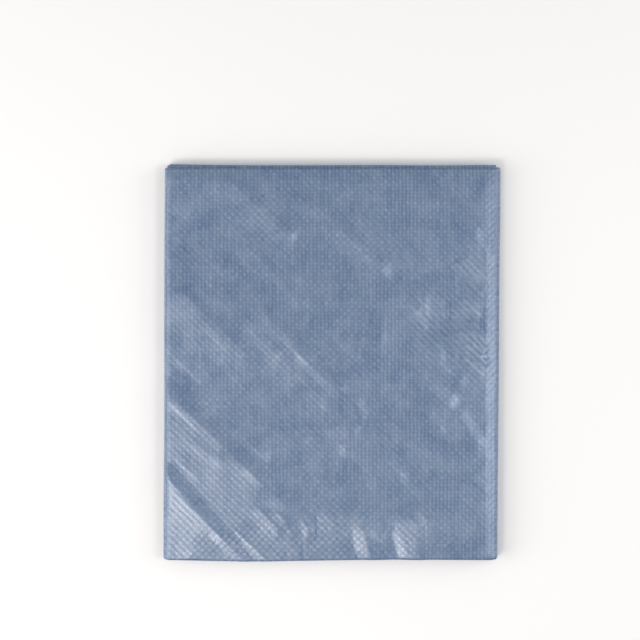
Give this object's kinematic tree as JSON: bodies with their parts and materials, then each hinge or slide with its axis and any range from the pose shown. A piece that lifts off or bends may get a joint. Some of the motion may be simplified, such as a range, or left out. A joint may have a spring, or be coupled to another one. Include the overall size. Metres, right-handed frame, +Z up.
{
  "type": "folded air conditioner cover",
  "caption": "Window air conditioner cover of silver woven polyethylene cloth, folded flat in thirds both ways for storage.",
  "frame": {"origin": "on the surface it lies on, under the middle of the folded cover", "axes": "+X across the folded cover, +Y along it, +Z up out of its upper face"},
  "size_m": [0.2264, 0.2668, 0.016],
  "materials": {
    "silver_woven_polyethylene": "plain weave of flat tapes under a silver laminate, with a soft satin sheen"
  },
  "bodies": {
    "root": {"folded_cover": "silver_woven_polyethylene"}
  },
  "joints": []
}
